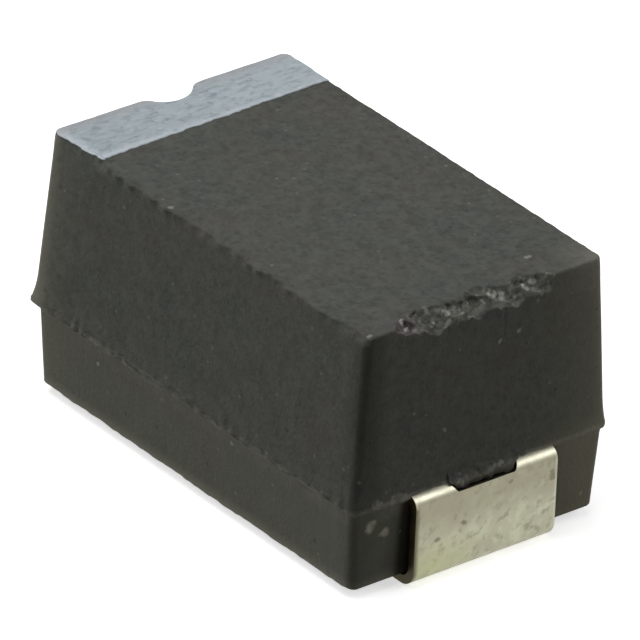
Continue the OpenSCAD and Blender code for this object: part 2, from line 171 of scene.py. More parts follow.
def side_points(at, half_other, radius, half_this):
    """One side of a rounded rectangle, from corner middle to corner middle, as (along, out)."""
    end = half_this - radius
    straight = at / abs(at).max() * end
    straight[0], straight[-1] = -end, end
    c = half_other - radius
    across, outward = radius * np.sin(ARC), radius * np.cos(ARC)
    along = np.concatenate([-end - across[::-1], straight, end + across])
    flat = np.full(len(straight), half_other)
    out = np.concatenate([c + outward[::-1], flat, c + outward])
    return along, out


def outline(length, width, radius):
    """The four sides of the case seen from above: near (-Y), cathode (+X), far (+Y), anode (-X)."""
    lx, ly = side_points(LONG_AT, width / 2, radius, length / 2)
    sy, sx = side_points(SHORT_AT, length / 2, radius, width / 2)
    near = np.stack([lx, -ly], -1)
    far = np.stack([lx, ly], -1)
    cathode = np.stack([sx, sy], -1)
    anode = np.stack([-sx, sy], -1)
    return near, cathode, far, anode


def around(sides):
    """The closed ring of points from four sides."""
    near, cathode, far, anode = sides
    return np.concatenate([near[:-1], cathode[:-1], far[:0:-1], anode[:0:-1]])


def wall_size(z):
    """Length and width of the straight drafted walls at height z."""
    if z >= PARTING_Z:
        t = (z - PARTING_Z) / (TOP_Z - PARTING_Z)
        length = UPPER_LENGTH + (TOP_LENGTH - UPPER_LENGTH) * t
        return length, UPPER_WIDTH + (TOP_WIDTH - UPPER_WIDTH) * t
    t = (z - BOTTOM_Z) / (PARTING_Z - BOTTOM_Z)
    length = BOTTOM_LENGTH + (LOWER_LENGTH - BOTTOM_LENGTH) * t
    return length, BOTTOM_WIDTH + (LOWER_WIDTH - BOTTOM_WIDTH) * t


def case_levels():
    """Height of each ring, how far its edge rounding pulls it in, and its share of the flash."""
    turn = np.radians([0, 22, 45, 68, 90])
    levels = []
    for a in turn:
        pulled_in = EDGE_RADIUS * (1 - math.sin(a))
        levels.append((BOTTOM_Z + EDGE_RADIUS * (1 - math.cos(a)), pulled_in, 0))
    lower_wall = np.linspace(BOTTOM_Z + EDGE_RADIUS, PARTING_Z - FLASH_BELOW, 16)
    levels += [(z, 0, 0) for z in lower_wall[1:]]
    levels += [(PARTING_Z - FLASH_BELOW * (1 - u), 0, u**1.7) for u in (0.2, 0.4, 0.6)]
    for height, share in ((-0.037, 0.9), (-0.014, 1.0), (0.036, 1.0)):
        levels.append((PARTING_Z + height, 0, share))
    for u in (0.13, 0.2, 0.3, 0.42, 0.58, 0.78, 1):
        levels.append((PARTING_Z + FLASH_ABOVE * u, 0, (1 - u)**1.7))
    wall_end = TOP_Z - TOP_EDGE_RADIUS
    wall = [(PARTING_Z + FLASH_ABOVE, 0.09), (3.45, 0.08), (3.6, 0.022), (wall_end, 0.022)]
    levels += [(z, 0, 0) for z in spaced(wall)[1:]]
    for a in turn[::-1][1:]:
        pulled_in = TOP_EDGE_RADIUS * (1 - math.sin(a))
        levels.append((TOP_Z - TOP_EDGE_RADIUS * (1 - math.cos(a)), pulled_in, 0))
    return levels


def notch_depth(y, z):
    """How far the notch is cut into the anode end at that place."""
    middle = NOTCH_DEPTH - NOTCH_RADIUS
    lip_y = math.sqrt((NOTCH_RADIUS + NOTCH_LIP)**2 - (NOTCH_LIP - middle)**2)
    touch_y = lip_y * NOTCH_RADIUS / (NOTCH_RADIUS + NOTCH_LIP)
    a = abs(y - NOTCH_Y)
    floor = middle + np.sqrt(np.maximum(NOTCH_RADIUS**2 - a**2, 0))
    lip = NOTCH_LIP - np.sqrt(np.maximum(NOTCH_LIP**2 - (a - lip_y)**2, 0))
    depth = np.where(a < touch_y, floor, np.where(a < lip_y, lip, 0))
    run_out = z - (TOP_Z - NOTCH_HEIGHT)
    drafted = depth - NOTCH_DRAFT * (TOP_Z - z) * (depth > 0)
    return np.maximum(0, np.minimum(drafted, run_out))


# Reach of the broken gate into the top face and down the end face, by place along the edge
BREAK_TOP = np.array([
    (-1.60, 0.0), (-1.5, 0.1), (-1.29, 0.20), (-1.1, 0.24), (-0.88, 0.30), (-0.61, 0.22),
    (-0.4, 0.2), (-0.21, 0.25), (0.04, 0.36), (0.2, 0.27), (0.33, 0.19), (0.475, 0.15),
    (0.62, 0.22), (0.76, 0.27), (0.93, 0.2), (1.1, 0.09), (1.2, 0.0)])
BREAK_END = np.array([
    (-1.60, 0.0), (-1.4, 0.08), (-1.14, 0.19), (-0.98, 0.23), (-0.8, 0.28), (-0.66, 0.22),
    (-0.45, 0.19), (-0.25, 0.22), (-0.1, 0.3), (0.06, 0.2), (0.17, 0.18), (0.26, 0.25),
    (0.39, 0.25), (0.57, 0.25), (0.68, 0.2), (0.79, 0.18), (0.96, 0.24), (1.11, 0.2), (1.2, 0.0)])
CRACK = np.array([
    (3.70, 0.31), (3.64, 0.33), (3.57, 0.31), (3.49, 0.33), (3.42, 0.32), (3.34, 0.33)])

# How far the near top edge stands in from its straight line, by place along the case: chips are
# above 0 and burrs below it
NEAR_EDGE = np.array([
    (-3.3, 0.0), (-2.8, 0.04), (-2.44, 0.09), (-2.3, 0.08), (-2.23, -0.015), (-2.11, 0.02),
    (-1.99, -0.055), (-1.87, 0.05), (-1.81, -0.04), (-1.75, -0.07), (-1.63, -0.04), (-1.51, 0.02),
    (-1.33, 0.0), (-1.21, -0.035), (-1.09, 0.015), (-1.03, -0.045), (-0.91, -0.09),
    (-0.79, -0.05), (-0.67, -0.005), (-0.49, 0.04), (-0.37, 0.01), (-0.13, 0.04), (0.05, 0.02),
    (0.11, 0.05), (0.23, -0.02), (0.47, 0.045), (0.65, 0.015), (0.77, 0.03), (0.83, -0.04),
    (0.95, -0.016), (1.13, -0.065), (1.25, 0.0), (1.43, 0.025), (1.61, 0.05), (1.67, -0.04),
    (1.85, 0.01), (1.97, -0.01), (2.21, -0.02), (2.45, -0.04), (2.57, 0.02), (2.69, -0.02),
    (2.87, 0.04), (3.2, 0.055), (3.35, 0.04)])


def break_gate(p):
    """Lowers the cathode end's top edge to the broken gate's rough face. Returns how much went."""
    x = p[:, 0] - TOP_LENGTH / 2
    z = p[:, 2] - TOP_Z
    near = (x > -0.55) & (z > -0.5)
    y = p[near, 1]
    across, height = (x[near] - z[near]) / math.sqrt(2), (x[near] + z[near]) / math.sqrt(2)
    top = np.interp(y, *BREAK_TOP.T)
    end = np.interp(y, *BREAK_END.T)
    # The place runs from 0 at the break's edge in the top face to 1 at its edge in the end face
    place = np.clip((across * math.sqrt(2) + top) / np.maximum(top + end, 1e-6), 0, 1)
    chord = -(top + (end - top) * place) / math.sqrt(2)
    spread = np.stack([y, across], -1)
    hollow = 4 * place * (1 - place)
    live = np.minimum(1, np.minimum(top, end) / 0.08)
    coarse = 0.08 * live * (0.3 + 0.7 * hollow) * chips(spread, 0.2, 11)
    fine = 0.018 * live * chips(spread, 0.1, 31)
    face = chord - 0.035 * hollow * live + coarse + fine + 0.06 * (1 - live)
    lost = np.maximum(0, height - face)
    lost[(top < 0.005) | (end < 0.005)] = 0
    p[near, 0] -= lost / math.sqrt(2)
    p[near, 2] -= lost / math.sqrt(2)
    gone = np.zeros(len(p))
    gone[near] = lost
    return gone


def wear(p):
    """Small faults of the moulding that change its shape."""
    below = TOP_Z - p[:, 2]
    side = np.sign(p[:, 1])
    along = np.stack([p[:, 0], side], -1)
    # Burrs and chips along the top edges, above all on the near side
    edge = np.clip((abs(p[:, 1]) - TOP_WIDTH / 2 + 0.12) / 0.07, 0, 1)
    edge *= np.exp(-((below / 0.1)**2))
    fine = 0.012 * np.tanh(2 * noise(along, (0.08, 1), 4))
    shifts = (-0.04, -0.02, 0, 0.02, 0.04)
    worn = np.mean([np.interp(p[:, 0] + shift, *NEAR_EDGE.T) for shift in shifts], 0)
    burr = np.where(side < 0, np.where(worn < 0, 0.7, 1) * worn + fine, 0.004 + 0.4 * fine)
    p[:, 1] -= side * edge * burr
    p[:, 2] -= edge * np.where(side < 0, 0.01, 0.003) * (1 + noise(along, (0.13, 1), 7))
    end = np.clip((abs(p[:, 0]) - TOP_LENGTH / 2 + 0.12) / 0.07, 0, 1)
    end *= np.exp(-((below / 0.08)**2))
    across = np.stack([p[:, 1], np.sign(p[:, 0])], -1)
    p[:, 0] -= np.sign(p[:, 0]) * end * 0.006 * (1 + noise(across, (0.12, 1), 6))
    # A hairline crack down the cathode end
    crack_y = np.interp(p[:, 2], CRACK[::-1, 0], CRACK[::-1, 1])
    cracked = (p[:, 0] > 3.3) & (p[:, 2] > CRACK[-1, 0]) & (below > 0.12)
    p[:, 0] -= cracked * 0.014 * np.exp(-(((p[:, 1] - crack_y) / 0.014)**2))
    # A wavy foot edge
    foot = np.exp(-(((p[:, 2] - BOTTOM_Z) / 0.05)**2))
    p[:, 2] += foot * (0.012 * noise(along, (0.3, 1), 12) + 0.008 * noise(along, (0.1, 1), 13))
    # Uneven walls and top face, which stay inside the flash
    wall = (below > 0.06) & (p[:, 2] > BOTTOM_Z + 0.06)
    swell = wall * (0.004 * noise(p, 0.5, 8) + 0.0015 * noise(p, (0.06, 0.06, 0.4), 9))
    ends = abs(p[:, 0]) > 3.3
    p[:, 0] += np.sign(p[:, 0]) * ends * swell
    p[:, 1] += side * ~ends * swell
    p[:, 2] += (below < 0.001) * 0.002 * noise(p[:, :2], 0.35, 10)
    widest = UPPER_WIDTH / 2 + FLASH_ANODE
    p[:, 1] = np.clip(p[:, 1], -widest, widest)
    return p


def case_mesh():
    """Rings of the drafted halves and their flash, closed by a grid on top. Returns the points, the
    faces, the flat underside, the numbers of the band's faces and the points in a ring."""
    rings = []
    levels = case_levels()
    for z, inset, flash in levels:
        length, width = wall_size(z)
        if flash and z < PARTING_Z:
            length += (UPPER_LENGTH - LOWER_LENGTH) * flash
            width += (UPPER_WIDTH - LOWER_WIDTH) * flash
        sides = outline(length - 2 * inset, width - 2 * inset, CORNER_RADIUS - inset / 2)
        ring = around(sides)
        # The flash stands out square to each side, and slanting only at the corners
        away = ring / np.array([length, width]) * 2
        away = np.where(abs(away) > 0.93, np.sign(ring), 0) + 1e-9
        away /= np.linalg.norm(away, axis=1)[:, None]
        share = np.clip((ring[:, 0] + 3.5) / 7, 0, 1)
        proud = FLASH_ANODE + (FLASH_CATHODE - FLASH_ANODE) * share
        # Ragged along the sides and full at the corners
        ragged = 0.4 * noise(ring, 0.3, 21) + 0.35 * np.tanh(2 * noise(ring, 0.08, 22))
        at_end = np.clip((abs(ring[:, 0]) - 3.3) / 0.15, 0, 1)
        at_corner = at_end * np.clip((abs(ring[:, 1]) - 1.95) / 0.15, 0, 1)
        crest = np.clip(0.7 + flash * ragged + 0.4 * at_corner, 0.12, 1)
        near_anode = np.clip((-2.6 - ring[:, 0]) / 0.8, 0, 1)
        near_anode *= np.clip((-1.4 - ring[:, 1]) / 0.6, 0, 1)
        lean = CORNER_LEAN * near_anode * (z > PARTING_Z - 0.03) * (TOP_Z - z) / (TOP_Z - PARTING_Z)
        ring = ring + away * (flash * proud * crest + lean)[:, None]
        wobble = 0.02 * noise(ring, 0.35, 23) + 0.008 * noise(ring, 0.1, 24)
        height = z + wobble * math.exp(-(((z - PARTING_Z) / 0.12)**2))
        rings.append(np.column_stack([ring, height]))
    count = len(rings[0])

    # The flat of the top face, stretched between the four sides of the last ring
    z, inset, _ = levels[-1]
    size = TOP_LENGTH - 2 * inset, TOP_WIDTH - 2 * inset
    near, cathode, far, anode = outline(*size, CORNER_RADIUS - inset / 2)
    u = ((near[:, 0] - near[0, 0]) / (near[-1, 0] - near[0, 0]))[:, None, None]
    v = ((cathode[:, 1] - cathode[0, 1]) / (cathode[-1, 1] - cathode[0, 1]))[None, :, None]
    grid = ((1 - v) * near[:, None] + v * far[:, None] + (1 - u) * anode[None] + u * cathode[None]
            - (1 - u) * (1 - v) * near[0] - u * (1 - v) * near[-1]
            - (1 - u) * v * far[0] - u * v * far[-1])
    grid = np.dstack([grid, np.full(grid.shape[:2], z)])

    def shape(p):
        """Cuts the notch, and lets the grid's lines follow the waver of the band's edge."""
        cut = notch_depth(p[..., 1], p[..., 2])
        fade = np.clip((-2.75 - p[..., 0]) / 0.65, 0, 1)
        p[..., 0] += cut * np.where(p[..., 2] > TOP_Z - 1e-6, fade, p[..., 0] < -3.2)
        y = p[..., 1:2]
        waver = 0.012 * noise(y, 0.2, 41) + 0.012 * noise(y, 0.06, 42) - 0.018 * p[..., 1]
        near_band = np.clip(1 - abs(p[..., 0] - BAND_EDGE_X) / 0.2, 0, 1)
        p[..., 0] += waver * near_band * (p[..., 2] > TOP_Z - TOP_EDGE_RADIUS)
        return p

    rings = [shape(r) for r in rings]
    grid = shape(grid)

    verts = np.concatenate(rings)
    n_long, n_short = len(near), len(cathode)
    index = np.full((n_long, n_short), -1)
    last = (len(rings) - 1) * count
    index[:, 0] = last + np.arange(n_long)
    index[-1, :] = last + n_long - 1 + np.arange(n_short)
    index[:, -1] = (last + n_long + n_short - 2 + np.arange(n_long))[::-1]
    index[0, 1:-1] = (last + 2 * n_long + n_short - 3 + np.arange(n_short - 2) + 1)[::-1]
    inner = index < 0
    index[inner] = len(verts) + np.arange(inner.sum())
    verts = np.concatenate([verts, grid[inner]])

    faces = []
    for level in range(len(rings) - 1):
        a = level * count
        for i in range(count):
            j = (i + 1) % count
            faces.append((a + i, a + j, a + count + j, a + count + i))
    wall_faces = len(faces)
    for i in range(n_long - 1):
        for j in range(n_short - 1):
            faces.append((index[i, j], index[i + 1, j], index[i + 1, j + 1], index[i, j + 1]))
    flat = list(range(count))[::-1]

    # Faces under the band: the top grid up to the band's line, and the upper half of the rounding.
    # A ring starts with the near side, then goes on to the cathode end, far side and anode end
    line = BAND_LINE + len(ARC)
    band = [wall_faces + i * (n_short - 1) + j for i in range(line) for j in range(n_short - 1)]
    far_start, anode_start = n_long + n_short - 2, 2 * n_long + n_short - 3
    far_line = far_start + n_long - 1 - line
    for level in (len(rings) - 3, len(rings) - 2):
        band += [level * count + i for i in range(count)
                 if i < line or i >= anode_start or far_line <= i < anode_start]
    return verts, faces, flat, band, count


def gridded_block(low, high, step):
    """A small box whose sides are fine grids, to be shaped by moving its points."""
    verts, faces = [], []
    low, high = np.array(low), np.array(high)
    for axis in range(3):
        for end in (0, 1):
            a, b = [k for k in range(3) if k != axis]
            na, nb = [max(2, int((high[k] - low[k]) / step)) for k in (a, b)]
            g = np.zeros((na + 1, nb + 1, 3))
            g[..., a] = np.linspace(low[a], high[a], na + 1)[:, None]
            g[..., b] = np.linspace(low[b], high[b], nb + 1)[None]
            g[..., axis] = (low, high)[end][axis]
            start = len(verts)
            verts += list(g.reshape(-1, 3))
            for i in range(na):
                for j in range(nb):
                    q = [start + i * (nb + 1) + j, start + (i + 1) * (nb + 1) + j,
                         start + (i + 1) * (nb + 1) + j + 1, start + i * (nb + 1) + j + 1]
                    faces.append(q if (end == 1) == (axis != 1) else q[::-1])
    return np.array(verts), faces


SKIN, BROKEN, TORN_PLUG = 0, 1, 2  # the case's material slots
BREAK_SHOWS = 0.012

verts, faces, flat, band_faces, ring_count = case_mesh()
band_verts = sorted({i for f in band_faces for i in faces[f]})
gone = break_gate(verts)
verts = wear(verts)
slot_of = [BROKEN if max(gone[list(f)]) > BREAK_SHOWS else SKIN for f in faces]

# An inner ring keeps the flat underside's shading away from its rounded edge
inset_ring = verts[:ring_count] * [0.98, 0.965, 0] + [0, 0, BOTTOM_Z]
start = len(verts)
case_faces = list(faces)
for i in range(ring_count):
    j = (i + 1) % ring_count
    case_faces.append((start + i, start + j, j, i))
case_faces.append([start + i for i in flat])
case_verts = np.concatenate([verts, inset_ring])
slot_of += [SKIN] * (ring_count + 1)

# The torn plug of epoxy in each terminal's window, at both ends
for end in (1, -1):
    low = (LOWER_LENGTH / 2 - PLUG_REACH, -1, PLUG_FOOT_Z)
    high = (LOWER_LENGTH / 2 + PLUG_REACH, 1, PLUG_TOP_Z)
    block, block_faces = gridded_block(low, high, 0.02)
    rise = np.clip((block[:, 2] - 1.29) / 0.13, 0, 1)
    block[:, 1] *= (WINDOW_FOOT + (WINDOW_TOP - WINDOW_FOOT) * rise) / 2 - PLUG_GAP / 2
    above_strip = np.clip((block[:, 2] - 1.4) / 0.13, 0, 1)
    block[:, 0] -= (block[:, 0] > LOWER_LENGTH / 2) * above_strip * 0.085
    for axis, push in enumerate((0.022, 0.01, 0.018)):
        coarse, fine = noise(block, 0.1, 50 + axis), noise(block, 0.04, 55 + axis)
        block[:, axis] += push * (coarse + 0.7 * fine)
    block[:, 0] *= end
    start = len(case_verts)
    case_verts = np.concatenate([case_verts, block])
    case_faces += [[start + i for i in (f if end == 1 else f[::-1])] for f in block_faces]
    slot_of += [TORN_PLUG] * len(block_faces)
case = mesh_object("case_moulding", case_verts, case_faces, slot_of)

# ---- Polarity band -------------------------------------------------------------------------

renumber = {v: k for k, v in enumerate(band_verts)}
lift = np.array([case.data.vertices[v].normal for v in band_verts])
band_points = verts[band_verts] + lift * BAND_THICKNESS
under = verts[band_verts] - lift * BAND_SINK
band_quads = [[renumber[i] for i in faces[f]] for f in band_faces]
edges = {}
for quad in band_quads:
    for a, b in zip(quad, quad[1:] + quad[:1]):
        edges[(a, b)] = edges.get((a, b), 0) + 1
rim = [(a, b) for a, b in edges if (b, a) not in edges]
n_band = len(band_verts)
band_mesh_faces = band_quads + [[b, a, a + n_band, b + n_band] for a, b in rim]
band = mesh_object("polarity_mark", np.concatenate([band_points, under]), band_mesh_faces)

# ---- Lead-frame terminals ------------------------------------------------------------------


def run_points(path, radii, straight_step=0.05, bend_steps=9):
    """Points along the middle of a strip that follows a path with rounded bends."""
    path = [np.array(p, float) for p in path]
    points = [path[0]]

    def straight_to(target):
        last = points[-1]
        count = max(2, int(np.linalg.norm(target - last) / straight_step))
        points.extend(last + (target - last) * t for t in np.linspace(0, 1, count + 1)[1:])

    for k in range(1, len(path) - 1):
        a, b, c, r = path[k - 1], path[k], path[k + 1], radii[k - 1]
        d0, d1 = (b - a) / np.linalg.norm(b - a), (c - b) / np.linalg.norm(c - b)
        start, centre = b - d0 * r, b - d0 * r + d1 * r
        straight_to(start)
        for t in np.linspace(0, math.pi / 2, bend_steps + 1)[1:]:
            points.append(centre - d1 * r * math.cos(t) + d0 * r * math.sin(t))
    straight_to(path[-1])
    return np.array(points)


def terminal_mesh(name, path, inner_width, end):
    """A folded strip with its window, thickened and with rounded stamped edges; end is +1 at the
    cathode and -1 at the anode."""
    line = run_points(path, BENDS)
    shoulder_x = LOWER_LENGTH / 2 - WINDOW_INSIDE
    outside = (line[:, 0] > shoulder_x - 0.08) | (line[:, 1] < PAD_Z + 0.02)
    low_z = PARTING_Z - WINDOW_DROP
    rows = []
    holes = []
    side = np.linspace(0, 1, 19)
    middle = np.linspace(-1, 1, 27)
    first_hole = next(i for i, (x, z) in enumerate(line) if z > low_z and x > 3.4)
    line[first_hole, 1] = low_z
    for k, (x, z) in enumerate(line):
        past = k - first_hole
        grow = np.clip((z - low_z) / 0.1, 0, 1) if past >= 0 else 0
        window = (WINDOW_FOOT + (WINDOW_TOP - WINDOW_FOOT) * (grow if past < 14 else 1)) / 2
        half = (TERMINAL_WIDTH if outside[k] else inner_width) / 2
        window = min(window, half * 0.9)
        left = -half + (half - window) * side
        y = np.concatenate([left, window * middle[1:-1], -left[::-1]])
        rows.append(np.column_stack([np.full(len(y), x), y, np.full(len(y), z)]))
        holes.append(past >= 0 and x > shoulder_x and z > 1)
    rows = np.array(rows)
    verts = rows.reshape(-1, 3)
    n = rows.shape[1]
    faces = []
    for i in range(len(rows) - 1):
        for j in range(n - 1):
            if holes[i] and holes[i + 1] and len(side) - 1 <= j < n - len(side):
                continue
            a = i * n + j
            faces.append((a, a + 1, a + n + 1, a + n))
    verts[:, 0] *= end
    if end < 0:
        faces = [f[::-1] for f in faces]
    obj = mesh_object(name, verts, faces)
    thick = obj.modifiers.new("thickness", "SOLIDIFY")
    thick.thickness = STRIP * MM
    thick.offset = 0
    thick.use_even_offset = True
    bevel = obj.modifiers.new("stamped_edge", "BEVEL")
    bevel.width = STAMPED_ROUNDING * MM
    bevel.segments = 3
    bevel.limit_method = "ANGLE"
    bevel.angle_limit = math.radians(50)
    settle = obj.modifiers.new("flat_faces", "WEIGHTED_NORMAL")
    settle.keep_sharp = False
    return obj


cathode = terminal_mesh("cathode_lead", CATHODE_RUN, CATHODE_INNER_WIDTH, 1)
anode = terminal_mesh("anode_lead", ANODE_RUN, ANODE_INNER_WIDTH, -1)

# ---- Materials -----------------------------------------------------------------------------

EPOXY_IOR = 1.55


def linear(hex_colour):
    """An sRGB hex colour as linear RGBA."""
    rgb = [int(hex_colour[i : i + 2], 16) / 255 for i in (1, 3, 5)]
    return [c / 12.92 if c <= 0.04045 else ((c + 0.055) / 1.055)**2.4 for c in rgb] + [1]


def add(tree, kind, inputs=(), **settings):
    """Adds one node: settings are its own properties, inputs its sockets' values or links."""
    made = tree.nodes.new(kind)
    for name, value in settings.items():
        setattr(made, name, value)
    for name, value in dict(inputs).items():
        if isinstance(value, bpy.types.NodeSocket):
            tree.links.new(value, made.inputs[name])
        else:
            made.inputs[name].default_value = value
    return made


def start_material(name):
    """An empty material with its shader, and the place on the piece in millimetres."""
    made = bpy.data.materials.new(name)
    made.use_nodes = True
    tree = made.node_tree
    tree.nodes.clear()
    shader = add(tree, "ShaderNodeBsdfPrincipled")
    add(tree, "ShaderNodeOutputMaterial", {"Surface": shader.outputs[0]})
    place = add(tree, "ShaderNodeTexCoord").outputs["Object"]
    return made, tree, shader, vector(tree, "MULTIPLY", place, [1 / MM] * 3)


def calc(tree, operation, *values):
    """One arithmetic step on numbers or sockets."""
    return add(tree, "ShaderNodeMath", dict(enumerate(values)), operation=operation).outputs[0]


def multiply(tree, a, b):
    """The product of two numbers or sockets."""
    return calc(tree, "MULTIPLY", a, b)


def vector(tree, operation, *values):
    """One step on vectors or sockets."""
    inputs = dict(enumerate(values))
    return add(tree, "ShaderNodeVectorMath", inputs, operation=operation).outputs[0]


def gap_to(tree, spot, place):
    """The distance from a spot to a place."""
    gap = add(tree, "ShaderNodeVectorMath", {0: spot, 1: place}, operation="DISTANCE")
    return gap.outputs["Value"]


def ramp(tree, value, start, end, low=0.0, high=1.0):
    """A straight change from low at start to high at end, held beyond them."""
    return add(tree, "ShaderNodeMapRange", {0: value, 1: start, 2: end, 3: low, 4: high}).outputs[0]


def field(tree, mm, size, stretch=(1, 1, 1), detail=2.0, low=0.3, high=0.7, out=(0, 1),
          offset=(0, 0, 0)):
    """Noise whose bumps are size millimetres across, mapped from low..high to out."""
    spot = vector(tree, "MULTIPLY_ADD", mm, [1 / (size * s) for s in stretch], offset)
    inputs = {"Vector": spot, "Scale": 1.0, "Detail": detail, "Roughness": 0.6}
    return ramp(tree, add(tree, "ShaderNodeTexNoise", inputs).outputs[0], low, high, *out)


def specks(tree, mm, spacing, size, seed):
    """Scattered round specks of about that size, one in a cell of that spacing, as 0 to 1."""
    spot = vector(tree, "MULTIPLY_ADD", mm, [1 / spacing] * 3, [seed] * 3)
    cells = add(tree, "ShaderNodeTexVoronoi", {"Vector": spot, "Scale": 1.0}, feature="F1")
    return ramp(tree, cells.outputs["Distance"], size / spacing, size / spacing * 0.4)


def at_places(tree, mm, places, radius):
    """1 at the given places and 0 further away than about the radius, with ragged outlines."""
    inputs = {"Vector": mm, "Scale": 0.4 / radius, "Detail": 2.0}
    grain = add(tree, "ShaderNodeTexNoise", inputs).outputs["Color"]
    push = vector(tree, "SUBTRACT", grain, (0.5, 0.5, 0.5))
    warped = vector(tree, "MULTIPLY_ADD", push, [1.8 * radius] * 3, mm)
    marks = [ramp(tree, gap_to(tree, warped, place), radius, radius * 0.5) for place in places]
    total = marks[0]
    for mark in marks[1:]:
        total = calc(tree, "MAXIMUM", total, mark)
    return total


def blend(tree, factor, a, b):
    """Colour a at 0 and colour b at 1; either may be hex or a socket."""
    first, second = [linear(c) if isinstance(c, str) else c for c in (a, b)]
    # The mix node keeps its colours in inputs 6 and 7 and output 2
    mix = add(tree, "ShaderNodeMix", {0: factor, 6: first, 7: second}, data_type="RGBA")
    return mix.outputs[2]


def raise_surface(tree, shader, height, distance):
    """Relief of that many millimetres from a height of 0 to 1."""
    inputs = {"Height": height, "Distance": distance * MM, "Strength": 1.0}
    tree.links.new(add(tree, "ShaderNodeBump", inputs).outputs[0], shader.inputs["Normal"])


# Bright filler grains that lie bare at the surface
BARE_GRAINS = [
    (3.345, -1.90, 3.97), (2.87, 1.12, 3.97), (2.87, 1.17, 3.97), (-0.85, -1.95, 3.96),
    (-2.1, -2.11, 1.03), (0.84, -2.11, 1.21), (3.46, -0.64, 2.2), (3.47, 0.58, 3.31),
    (3.47, 0.25, 3.26), (3.44, 1.83, 0.4), (3.56, -0.43, 1.38), (3.56, -0.37, 1.34),
    (3.56, 0.18, 1.43), (3.56, 0.25, 1.41), (3.56, 0.3, 1.44)]
# Scuffs low on the cathode end, beside its terminal
SCUFFS = [
    (3.46, -1.82, 1.12), (3.46, -1.83, 1.06), (3.45, -1.58, 0.93), (3.45, -1.55, 0.91)]
# Torn flash that stands pale along the cathode end's parting line
TORN_FLASH = [
    (3.5, -1.3, 1.4), (3.5, -1.39, 1.41), (3.5, -1.5, 1.4), (3.5, -1.76, 1.43), (3.5, 1.62, 1.37),
    (3.5, 1.78, 1.36), (3.5, 1.9, 1.35), (3.5, 2.02, 1.37)]
# Dark nicks in the cathode terminal's tin
TIN_MARKS = [
    (3.65, 0.41, 1.15), (3.65, 1.115, 0.97), (3.65, 1.12, 1.03), (3.65, 1.12, 1.08),
    (3.65, -0.375, 0.78), (3.65, -0.81, 0.65)]
# Places where the broken gate's facets catch the light
GLINTS = [
    (3.235, -1.28, 3.925), (3.292, -1.254, 3.868), (3.327, -0.76, 3.833), (3.293, -0.584, 3.867),
    (3.25, -0.48, 3.95), (3.331, -0.36, 3.829), (3.262, -0.106, 3.898), (3.268, 0.21, 3.892),
    (3.318, 0.343, 3.842), (3.383, 0.548, 3.777), (3.31, 0.738, 3.85), (3.282, 0.895, 3.878),
    (3.284, 1.097, 3.876)]


